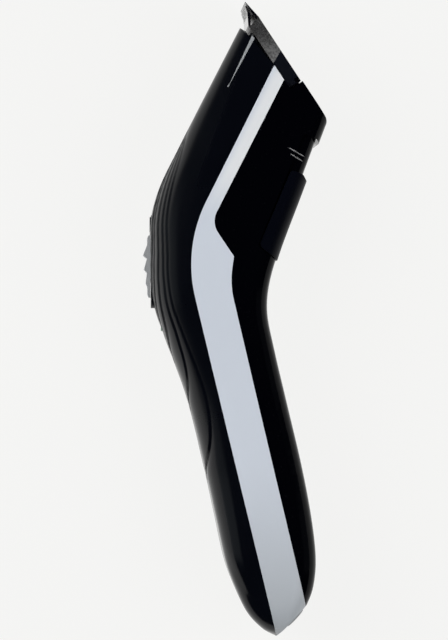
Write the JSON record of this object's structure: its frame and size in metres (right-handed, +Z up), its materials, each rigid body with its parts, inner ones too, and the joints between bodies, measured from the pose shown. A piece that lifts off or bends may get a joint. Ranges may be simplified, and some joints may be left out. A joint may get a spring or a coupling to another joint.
{
  "type": "hair clipper",
  "caption": "Cordless hair clipper with a cranked body, swing-out cutting unit, thumb switch and length slider.",
  "frame": {"origin": "centre of the underside of the bounding box, the clipper lying on its left side", "axes": "+Y towards the blades, +X towards the skin side and the back, +Z up through the width"},
  "size_m": [0.0519, 0.1802, 0.046],
  "materials": {
    "dark_housing": "satin",
    "black_gloss": "gloss",
    "silver_trim": "satin metallic lacquer",
    "silver_slider": "satin",
    "navy_slider": "satin",
    "grained_grey": "fine grain",
    "black_plastic": "matt",
    "blade_steel": "ground",
    "spring_steel": "bright",
    "screw_steel": "bright",
    "zinc_steel": "zinc plated",
    "copper": "enamelled wire",
    "brass": "bright",
    "magnet": "sintered",
    "white_plastic": "moulded",
    "board_green": "solder mask",
    "component_black": "moulded",
    "cell_wrap": "shrink sleeve",
    "seal_rubber": "matt",
    "inlet_grey": "moulded",
    "light_lens": "translucent"
  },
  "bodies": {
    "housing": {"front_housing": "dark_housing", "back_housing": "black_gloss", "trim_band": "silver_trim", "accent_strips": "silver_trim", "housing_screws": "screw_steel", "switch_bezel": "black_plastic", "switch_body": "component_black", "control_board": "board_green", "board_parts": "component_black", "charge_light": "light_lens", "head_frame": "black_plastic", "unit_hinge_pin": "screw_steel", "motor_can": "zinc_steel", "motor_screws": "screw_steel", "motor_end_cap": "component_black", "motor_bearings": "brass", "shaft_seal": "seal_rubber", "motor_magnets": "magnet", "motor_brushes": "copper", "battery_cells": "cell_wrap", "battery_cradle": "black_plastic", "battery_contacts": "spring_steel", "inlet_socket": "inlet_grey", "inlet_contacts": "brass"},
    "cutting_unit": {"blade_frame": "grained_grey", "hinge_frame": "black_plastic", "fixed_blade": "blade_steel", "blade_screws": "screw_steel", "blade_spring": "spring_steel"},
    "cutter": {"moving_blade": "blade_steel", "blade_bridge": "white_plastic"},
    "rotor": {"motor_shaft": "screw_steel", "rotor_core": "zinc_steel", "rotor_windings": "copper", "commutator": "brass", "eccentric_cam": "white_plastic", "drive_pin": "screw_steel"},
    "switch_slide": {"on_off_slider": "silver_slider", "switch_lever": "white_plastic"},
    "length_slide": {"length_slider": "navy_slider", "slider_retainer": "white_plastic", "retainer_screw": "screw_steel"}
  },
  "joints": [
    {"name": "cutting_unit_hinge", "type": "hinge", "parent": "housing", "child": "cutting_unit", "pos_m": [0.01756, 0.068, 0.023], "axis": [0, 0, -1], "range_deg": [0, 60]},
    {"name": "blade_stroke", "type": "slide", "parent": "cutting_unit", "child": "cutter", "axis": [0, 0, 1], "range_m": [-0.0011, 0.0011]},
    {"name": "rotor_spin", "type": "hinge", "parent": "housing", "child": "rotor", "pos_m": [0.0127, 0.0697, 0.023], "axis": [0.4478, 0.8942, 0], "continuous": true},
    {"name": "on_off_slide", "type": "slide", "parent": "housing", "child": "switch_slide", "axis": [0, -1, 0], "range_m": [0, 0.0025]},
    {"name": "length_slide", "type": "slide", "parent": "housing", "child": "length_slide", "axis": [0.3528, 0.9357, 0], "range_m": [0, 0.0105]}
  ]
}
